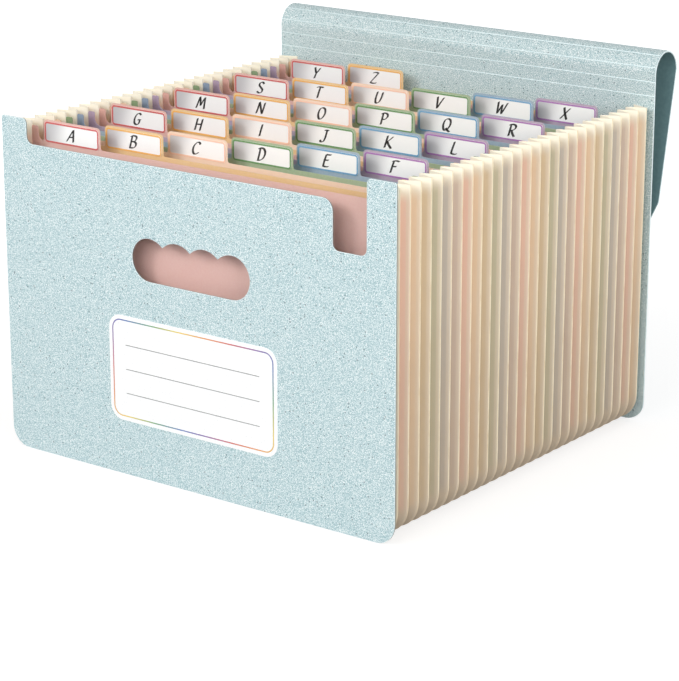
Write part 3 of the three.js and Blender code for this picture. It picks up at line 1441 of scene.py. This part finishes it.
@dataclass
class BackSheet:
    """Back cover, scored roll and flap: one sheet, cut into pieces between the creases."""

    finishes: Finishes
    thickness: float = 0.0012
    half_width: float = 0.165
    foot_radius: float = 0.0145
    foot_steps: int = 10
    chamfer: float = 0.00028
    crease_pitch: float = 0.010
    fixed_creases: int = 2
    groove_width: float = 0.0006
    groove_depth: float = 0.00028
    groove_clear: float = 1.3
    bend_steps: int = 16
    flap_side: float = 0.097
    flap_taper: float = 0.036
    flap_inset: float = 0.014
    flap_radius: float = 0.010
    front_side: int = 0
    rear_side: int = 4
    sharp_degrees: float = 30.0

    def __post_init__(self) -> None:
        """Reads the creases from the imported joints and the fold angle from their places."""
        self.creases = [Vector(joint["pos_m"]).yz for joint in frame["joints"]]
        first = self.creases[1] - self.creases[0]
        self.fold = math.atan2(first.x, first.y)
        names = [joint["child"] for joint in frame["joints"]]
        self.bodies = [HOLDER, *names]

    def heading(self, number: int) -> Vector:
        """Direction of the sheet after a number of creases, as y and z."""
        return Vector((math.sin(self.fold * number), math.cos(self.fold * number)))

    def side_slot(self, side: int, scored: bool) -> BackSlot:
        """Tells which finish one side of the sheet wears.

        Args:
            side: Number of the side, counted round the ring.
            scored: Whether it lies in a scored line.

        Returns:
            The slot.
        """
        # The rear side wears the painted shade of the rear finish.
        if side == self.rear_side:
            return BackSlot.REAR
        # Sides, chamfers and scored lines wear the painted rim highlight.
        return BackSlot.INSIDE if side == self.front_side and not scored else BackSlot.RIM

    def ring(self, centre: Vector, heading: Vector, half_width: float, groove: float) -> list[Vector]:
        """Points round the sheet at one place of its path.

        Args:
            centre: Middle of the sheet, as y and z.
            heading: Direction of the path, as y and z.
            half_width: Half of the sheet's width there.
            groove: Depth of a crease groove in the front face.

        Returns:
            Eight points.
        """
        half = self.thickness / 2
        cut = self.chamfer
        wide, narrow = half_width, half_width - cut
        profile = [
            (-narrow, -half + groove),
            (narrow, -half + groove),
            (wide, -half + cut),
            (wide, half - cut),
            (narrow, half),
            (-narrow, half),
            (-wide, half - cut),
            (-wide, -half + cut),
        ]
        rear = Vector((heading.y, -heading.x))
        spots = [(x, centre + rear * offset) for x, offset in profile]
        return [Vector((x, spot.x, spot.y)) for x, spot in spots]

    def strip(
        self,
        name: str,
        rings: list[list[Vector]],
        caps: tuple[bool, bool],
        scores: list[int],
    ) -> bpy.types.Object:
        """Skins a run of rings.

        Args:
            name: The piece's name.
            rings: The rings in order.
            caps: Whether the first and the last ring are closed.
            scores: Numbers of the rings that lie in a scored line.

        Returns:
            The piece.
        """
        count = len(rings[0])
        points = [point for ring in rings for point in ring]
        faces = []
        slots = []
        for station in range(len(rings) - 1):
            scored = station in scores or station + 1 in scores
            for i in range(count):
                a = station * count + i
                b = station * count + (i + 1) % count
                faces.append((a, b, b + count, a + count))
                slots.append(self.side_slot(i, scored))
        last = (len(rings) - 1) * count
        if caps[0]:
            faces.append(tuple(reversed(range(count))))
            slots.append(BackSlot.RIM)
        if caps[1]:
            faces.append(tuple(range(last, last + count)))
            slots.append(BackSlot.RIM)
        mesh = mesh_of(name, points, faces)
        dress(mesh, [self.finishes.inside, self.finishes.cut_edge, self.finishes.rear])
        mesh.polygons.foreach_set("material_index", slots)
        soften(mesh, self.sharp_degrees)
        return place_mesh(name, mesh)

    def straight_rings(
        self,
        start: Vector,
        heading: Vector,
        stations: list[Point],
        grooves: list[float],
    ) -> list[list[Vector]]:
        """Rings along a straight run.

        Args:
            start: Where the run starts, as y and z.
            heading: Its direction.
            stations: Distance and half width of each ring.
            grooves: Groove depth of each ring.

        Returns:
            The rings.
        """
        return [
            self.ring(start + heading * distance, heading, half_width, groove)
            for (distance, half_width), groove in zip(stations, grooves)
        ]

    def back_cover(self) -> bpy.types.Object:
        """The standing sheet, rounded at its foot and scored below the roll.

        Returns:
            The piece.
        """
        foot = arc_points(
            (self.half_width - self.foot_radius, self.foot_radius),
            self.foot_radius,
            -math.pi / 2,
            math.pi / 2,
            self.foot_steps,
        )
        stations = [(z, x) for x, z in foot]
        grooves = [0.0] * len(stations)
        first = self.creases[0].y
        for i in range(self.fixed_creases, 0, -1):
            z = first - i * self.crease_pitch
            for shift, depth in ((-0.5, 0.0), (0.0, self.groove_depth), (0.5, 0.0)):
                stations.append((z + shift * self.groove_width, self.half_width))
                grooves.append(depth)
        stations.append((first - self.crease_pitch / 2, self.half_width))
        grooves.append(0.0)
        start = Vector((self.creases[0].x, 0.0))
        rings = self.straight_rings(start, self.heading(0), stations, grooves)
        scores = [i for i, depth in enumerate(grooves) if depth > 0]
        return self.strip("back_cover_sheet", rings, (True, False), scores)

    def bend(self, number: int) -> bpy.types.Object:
        """Bend of the sheet at one crease, from mid-strip to mid-strip.

        Args:
            number: The crease, counted from 0.

        Returns:
            The piece.
        """
        half = self.crease_pitch / 2
        heading = self.heading(number)
        start = self.creases[number] - heading * half
        radius = half / math.tan(self.fold / 2)
        centre = start + Vector((heading.y, -heading.x)) * radius
        groove_turn = self.groove_width / radius / 2
        turns = [self.fold * i / self.bend_steps for i in range(self.bend_steps + 1)]
        middle = self.fold / 2
        turns = [turn for turn in turns if abs(turn - middle) > groove_turn * self.groove_clear]
        turns = sorted([*turns, middle - groove_turn, middle, middle + groove_turn])
        rings = []
        for turn in turns:
            angle = self.fold * number + turn
            direction = Vector((math.sin(angle), math.cos(angle)))
            spot = centre - Vector((direction.y, -direction.x)) * radius
            groove = self.groove_depth if turn == middle else 0.0
            rings.append(self.ring(spot, direction, self.half_width, groove))
        return self.strip(f"roll_bend_{number + 1}", rings, (False, False), [turns.index(middle)])

    def flap(self) -> bpy.types.Object:
        """The hanging panel, tapered and rounded at its free end.

        Returns:
            The piece.
        """
        length = self.flap_side + self.flap_taper
        end = self.half_width - self.flap_inset
        outline = round_corners([
            (-self.half_width, 0.0, 0.0),
            (self.half_width, 0.0, 0.0),
            (self.half_width, self.flap_side, self.flap_radius),
            (end, length, self.flap_radius),
            (-end, length, self.flap_radius),
            (-self.half_width, self.flap_side, self.flap_radius),
        ])
        start = self.crease_pitch / 2
        stations = [(start, self.half_width)]
        stations += [(z, x) for x, z in outline if x > 0 and z > start]
        number = len(self.creases)
        origin = self.creases[-1]
        rings = self.straight_rings(origin, self.heading(number), stations, [0.0] * len(stations))
        return self.strip("flap_sheet", rings, (False, True), [])

    def build(self) -> list[bpy.types.Object]:
        """Builds the sheet's pieces: the back cover and the flap on their bodies, and a bend at each
        crease.

        Returns:
            The pieces.
        """
        back = self.back_cover()
        flap = self.flap()
        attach(back, HOLDER)
        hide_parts("back_cover")
        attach(flap, FLAP)
        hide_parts(FLAP)
        bends = []
        for number, crease in enumerate(self.creases):
            piece = self.bend(number)
            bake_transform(piece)
            if number < len(self.creases) - 1:
                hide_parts(self.bodies[number + 1])
            bends.append(piece)
        return [back, *bends, flap]


def smooth_line(spots: list[Point], steps: int) -> list[Vector]:
    """Smooth line through points, as a Catmull-Rom spline.

    Args:
        spots: The points.
        steps: Segments between two of them.

    Returns:
        Points along the line.
    """
    knots = [Vector(spots[0]), *[Vector(spot) for spot in spots], Vector(spots[-1])]
    line = []
    for before, start, end, after in zip(knots, knots[1:], knots[2:], knots[3:]):
        for i in range(steps):
            t = i / steps
            bend = (2 * before - 5 * start + 4 * end - after) * t * t
            twist = (3 * start - before - 3 * end + after) * t**3
            line.append((2 * start + (end - before) * t + bend + twist) / 2)
    line.append(knots[-1])
    return line


@dataclass(frozen=True)
class BroadPen:
    """Broad nib held at a slant, so that strokes swell and thin with their direction."""

    half_width: float
    half_edge: float
    slant_degrees: float

    def reach(self, heading: Vector) -> Vector:
        """How far the nib reaches to the left of a stroke.

        Args:
            heading: The stroke's direction.

        Returns:
            The offset of the stroke's left edge.
        """
        slant = math.radians(self.slant_degrees)
        along = Vector((math.cos(slant), math.sin(slant)))
        over = Vector((-along.y, along.x))
        left = Vector((-heading.y, heading.x)).normalized()
        wide = self.half_width * left.dot(along)
        thin = self.half_edge * left.dot(over)
        return (along * (self.half_width * wide) + over * (self.half_edge * thin)) / math.hypot(wide, thin)

    def ribbon(self, line: list[Vector]) -> list[list[Vector]]:
        """Four-cornered pieces that cover a stroke.

        Args:
            line: Points along the stroke.

        Returns:
            The pieces' corners.
        """
        offsets = []
        for i in range(len(line)):
            heading = line[min(i + 1, len(line) - 1)] - line[max(i - 1, 0)]
            offsets.append(self.reach(heading))
        pieces = []
        for i in range(len(line) - 1):
            start, end = line[i], line[i + 1]
            near, far = offsets[i], offsets[i + 1]
            pieces.append([start - near, end - far, end + far, start + near])
        return pieces


# Strokes of each letter: points as x,height in hundredths of its height, with | between strokes.
LETTER_STROKES: dict[str, str] = {
    "a": "0,0 14,35 42,100 | 42,100 50,50 58,0 | 10,36 55,40",
    "b": "12,0 15,50 17,98 | 2,88 20,100 50,97 55,78 42,57 20,52 | 20,52 50,50 60,28 45,4 10,0",
    "c": "60,82 52,97 32,96 10,65 6,30 20,2 42,4 58,20",
    "d": "14,0 16,50 17,97 | 0,88 20,100 48,93 62,60 52,20 30,2 8,0",
    "e": "55,98 32,96 14,97 | 16,97 10,50 8,3 | 8,3 30,0 52,5 | 12,52 42,54",
    "f": "6,92 35,100 62,97 | 20,97 14,50 10,0 | 14,52 45,55",
    "g": "58,85 45,98 25,90 8,55 10,15 30,0 50,12 54,42 | 36,44 64,44",
    "h": "14,100 10,50 6,0 | 58,100 54,50 50,0 | 8,50 55,54",
    "i": "30,100 26,50 22,0",
    "j": "25,96 42,100 60,98 | 46,98 42,40 32,6 12,0 4,14",
    "k": "14,100 10,50 6,0 | 58,98 35,68 12,48 | 18,52 36,25 60,0",
    "l": "16,100 10,50 6,4 | 6,4 30,0 52,6",
    "m": "0,0 10,50 20,100 | 20,100 30,60 36,25 | 36,25 50,65 66,100 | 66,100 68,50 70,0",
    "n": "2,0 10,50 16,100 | 16,100 34,50 52,2 | 52,2 58,50 64,100",
    "o": "34,100 12,85 4,40 18,2 42,10 60,50 54,90 32,100",
    "p": "14,0 16,50 18,98 | 2,88 22,100 50,96 58,74 42,50 20,44",
    "q": "34,100 12,85 4,40 18,2 42,10 60,50 54,90 32,100 | 30,20 48,2 66,-8",
    "r": "14,0 16,50 18,98 | 2,88 22,100 50,96 58,76 42,54 20,48 | 30,48 42,22 60,0",
    "s": "56,85 44,99 22,92 16,70 32,52 50,34 46,10 24,0 4,12",
    "t": "4,91 30,100 64,98 | 36,98 30,50 26,0",
    "u": "14,100 8,50 10,10 26,0 46,20 56,60 60,100",
    "v": "8,100 14,50 20,0 | 20,0 40,50 62,100",
    "w": "4,100 8,50 12,0 | 12,0 28,45 40,80 | 40,80 42,40 46,0 | 46,0 64,50 80,100",
    "x": "12,100 28,50 52,0 | 62,98 30,50 0,2",
    "y": "10,100 20,70 30,48 | 60,100 42,66 28,40 20,0",
    "z": "10,92 35,100 60,97 | 60,97 30,48 2,4 | 2,4 30,0 58,7",
}


def letter_strokes(letter: str) -> list[list[Point]]:
    """Reads the strokes of one letter.

    Args:
        letter: The letter.

    Returns:
        The points of each stroke, in shares of the letter's height.
    """
    strokes = []
    for part in LETTER_STROKES[letter].split("|"):
        spots = [spot.split(",") for spot in part.split()]
        strokes.append([(int(x) / 100, int(z) / 100) for x, z in spots])
    return strokes


@dataclass
class IndexTabs:
    """Divider sheets with their labels: coloured borders and one letter on each."""

    finishes: Finishes
    letters: str = "abcdefghijklmnopqrstuvwxyz"
    columns: int = 6
    border: float = 0.0011
    radius: float = 0.0024
    rise: float = 0.0001
    letter_rise: float = 0.00006
    letter_height: float = 0.0085
    letter_width: float = 0.0100
    letter_foot: float = 0.0027
    letter_slant: float = 0.22
    letter_place: float = 0.492
    stroke_steps: int = 6
    pen: BroadPen = BroadPen(0.092, 0.034, 35.0)

    def label_box(self, letter: str) -> tuple[Vector, Vector]:
        """Lowest and highest corner of a letter's label."""
        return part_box(f"tab_label_{letter}")

    def dress_sheets(self) -> None:
        """Gives the divider and label solids their finishes."""
        colours = list(SheetColour)
        sheets = [
            DividerFinish(f"divider_{colour.name.lower()}", colour.sheet, colour.ear).material()
            for colour in colours
        ]
        papers = []
        for column, colour in enumerate(colours):
            low, high = self.label_box(self.letters[column])
            name = f"label_paper_{colour.name.lower()}"
            size = high - low
            papers.append(LabelPaperFinish(name, low.x, size.x, low.z, size.z).material())
        for i, letter in enumerate(self.letters):
            column = i % self.columns
            dress(frame["nodes"][f"divider_{letter}"].data, [sheets[column]])
            dress(frame["nodes"][f"tab_label_{letter}"].data, [papers[column]])

    def borders(self, row: RowTree) -> list[bpy.types.Object]:
        """Printed borders, one row of them for each column of tabs.

        Args:
            row: The tree that repeats a border.

        Returns:
            The pieces.
        """
        pieces = []
        for column, colour in enumerate(SheetColour):
            run = self.letters[column::self.columns]
            low, high = self.label_box(run[0])
            step = self.label_box(run[1])[0].y - low.y
            name = f"label_border_{colour.name.lower()}"
            size = (high.x - low.x, high.z - low.z)
            mesh = frame_band(name, size, self.radius, self.border, (low.x, low.z), low.y - self.rise)
            finish = PrintFinish(f"border_{colour.name.lower()}", colour.border).material()
            pieces.append(row.run(place_mesh(name, mesh), Repeat(len(run), (0.0, step, 0.0), finish)))
        return pieces

    def lettering(self) -> bpy.types.Object:
        """The slanted index letters, as one mesh.

        Returns:
            The piece.
        """
        points = []
        faces = []
        for letter in self.letters:
            low, high = self.label_box(letter)
            strokes = letter_strokes(letter)
            spots = [spot for stroke in strokes for spot in stroke]
            middle = (min(x for x, _ in spots) + max(x for x, _ in spots)) / 2
            across = low.x + (high.x - low.x) * self.letter_place
            foot = low.z + self.letter_foot
            y = low.y - self.letter_rise
            for stroke in strokes:
                for side in self.pen.ribbon(smooth_line(stroke, self.stroke_steps)):
                    start = len(points)
                    for x, z in side:
                        lean = self.letter_slant * (z - 0.5)
                        place = across + (x - middle + lean) * self.letter_width
                        points.append(Vector((place, y, foot + z * self.letter_height)))
                    faces.append((start, start + 1, start + 2, start + 3))
        mesh = mesh_of("tab_letters", points, faces)
        dress(mesh, [self.finishes.ink])
        return place_mesh("tab_letters", mesh)

    def build(self, row: RowTree) -> list[bpy.types.Object]:
        """Dresses the solids and builds the print.

        Args:
            row: The tree that repeats a border.

        Returns:
            The pieces.
        """
        self.dress_sheets()
        pieces = [*self.borders(row), self.lettering()]
        for piece in pieces:
            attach(piece, HOLDER)
        return pieces


@dataclass(frozen=True)
class Lamp:
    """Soft square lamp: its name, where it hangs, the length of its sides and its power in watts."""

    name: str
    place: tuple[float, float, float]
    size: float
    power: float


@dataclass
class Studio:
    """Pale floor and world, soft lamps and the camera."""

    camera_place: tuple[float, float, float] = (1.03908, -1.38946, 0.59932)
    camera_yaw: float = 36.925
    camera_pitch: float = 17.126
    sensor: float = 36.0
    lens: float = 135.02
    clip_end: float = 50.0
    floor_size: float = 14.0
    floor_drop: float = 0.0003
    floor_grey: float = 0.40
    floor_roughness: float = 0.9
    near_glow: float = 0.71
    far_glow: float = 0.94
    glow_start: float = 0.20
    glow_end: float = 1.10
    ambient: float = 0.34
    aim: tuple[float, float, float] = (0.0, 0.0, 0.12)
    lamps: tuple[Lamp, ...] = (
        Lamp("key", (-1.3, -2.2, 1.5), 1.0, 32.0),
        Lamp("side", (2.4, -1.1, 0.9), 1.4, 37.0),
        Lamp("front", (0.3, -2.4, 1.45), 1.4, 19.0),
        Lamp("rear", (0.9, 2.3, 0.7), 1.4, 17.0),
    )

    def build(self) -> None:
        """Builds the whole studio."""
        self.camera()
        self.world()
        self.floor()
        for lamp in self.lamps:
            self.hang(lamp)

    def camera(self) -> None:
        """Sets the camera at the photograph's viewing angle."""
        lens = bpy.data.cameras.new("camera")
        lens.sensor_fit = "VERTICAL"
        lens.sensor_height = self.sensor
        lens.lens = self.lens
        lens.clip_end = self.clip_end
        camera = bpy.data.objects.new("camera", lens)
        camera.location = self.camera_place
        camera.rotation_euler = (math.radians(90 - self.camera_pitch), 0.0, math.radians(self.camera_yaw))
        bpy.context.scene.collection.objects.link(camera)
        bpy.context.scene.camera = camera

    def seen(self, tree: bpy.types.NodeTree) -> bpy.types.NodeSocket:
        """Tells the rays that show the background from those that only light.

        Args:
            tree: The node tree that asks.

        Returns:
            1 for rays from the camera, in a reflection or through something clear, and 0 for others.
        """
        rays = tree.nodes.new("ShaderNodeLightPath")
        shown = rays.outputs["Is Camera Ray"]
        for kind in ("Is Glossy Ray", "Is Transmission Ray"):
            either = tree.nodes.new("ShaderNodeMath")
            either.operation = "MAXIMUM"
            tree.links.new(shown, either.inputs[0])
            tree.links.new(rays.outputs[kind], either.inputs[1])
            shown = either.outputs[0]
        return shown

    def world(self) -> None:
        """White world for the camera and in reflections, softer as a light."""
        world = bpy.data.worlds.new("studio")
        bpy.context.scene.world = world
        world.use_nodes = True
        nodes = world.node_tree.nodes
        link = world.node_tree.links.new
        light = nodes["Background"]
        light.inputs["Color"].default_value = WHITE
        light.inputs["Strength"].default_value = self.ambient
        white = nodes.new("ShaderNodeBackground")
        white.inputs["Color"].default_value = WHITE
        white.inputs["Strength"].default_value = 1.0
        chosen = nodes.new("ShaderNodeMixShader")
        link(self.seen(world.node_tree), chosen.inputs[0])
        link(light.outputs[0], chosen.inputs[1])
        link(white.outputs[0], chosen.inputs[2])
        link(chosen.outputs[0], nodes["World Output"].inputs["Surface"])

    def floor(self) -> None:
        """Grey floor that shows as white, also in reflections, and keeps the object's soft shadow."""
        half = self.floor_size / 2
        spots = [(-half, -half), (half, -half), (half, half), (-half, half)]
        points = [Vector((x, y, -self.floor_drop)) for x, y in spots]
        mesh = mesh_of("floor", points, [(0, 1, 2, 3)])
        grey = self.floor_grey
        graph = NodeGraph("floor_white", (grey, grey, grey, 1.0), self.floor_roughness)
        across, along, _ = graph.axes()
        squares = graph.math("MULTIPLY_ADD", across, across, graph.math("MULTIPLY", along, along))
        far = graph.smooth(graph.math("SQRT", squares), self.glow_start, self.glow_end)
        strength = graph.math("MULTIPLY_ADD", far, self.far_glow - self.near_glow, self.near_glow)
        glow_strength = graph.math("MULTIPLY", self.seen(graph.tree), strength)
        glow = graph.put("ShaderNodeEmission", {"Color": WHITE, "Strength": glow_strength})
        both = graph.put("ShaderNodeAddShader", {0: graph.shader.outputs[0], 1: glow.outputs[0]})
        graph.feed(both.outputs[0], graph.tree.nodes["Material Output"].inputs["Surface"])
        dress(mesh, [graph.material])
        place_mesh("floor", mesh)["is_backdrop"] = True

    def hang(self, lamp: Lamp) -> None:
        """Adds a lamp that is aimed at the object.

        Args:
            lamp: The lamp.
        """
        light = bpy.data.lights.new(lamp.name, "AREA")
        light.size = lamp.size
        light.energy = lamp.power
        holder = bpy.data.objects.new(lamp.name, light)
        holder.location = lamp.place
        heading = Vector(self.aim) - Vector(lamp.place)
        holder.rotation_euler = heading.to_track_quat("-Z", "Y").to_euler()
        bpy.context.scene.collection.objects.link(holder)


def corners() -> list[list[float]]:
    """The shown object's box as two plain lists."""
    return [[float(value) for value in corner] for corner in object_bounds()]


def main() -> None:
    """Builds the studio and every sub-assembly."""
    logging.basicConfig(level=logging.INFO, format="%(name)s: %(message)s")
    bpy.context.scene.view_settings.view_transform = "Standard"
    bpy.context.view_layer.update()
    Studio().build()
    finishes = Finishes.make()
    row = RowTree("repeat_in_a_row")
    groups = [
        FrontCover(finishes).build(row),
        GussetBellows().build(row),
        BackSheet(finishes).build(),
        IndexTabs(finishes).build(row),
    ]
    for group in groups:
        for piece in group:
            log.info("%s: %d faces", piece.name, len(piece.data.polygons))


if __name__ == "__main__":
    main()
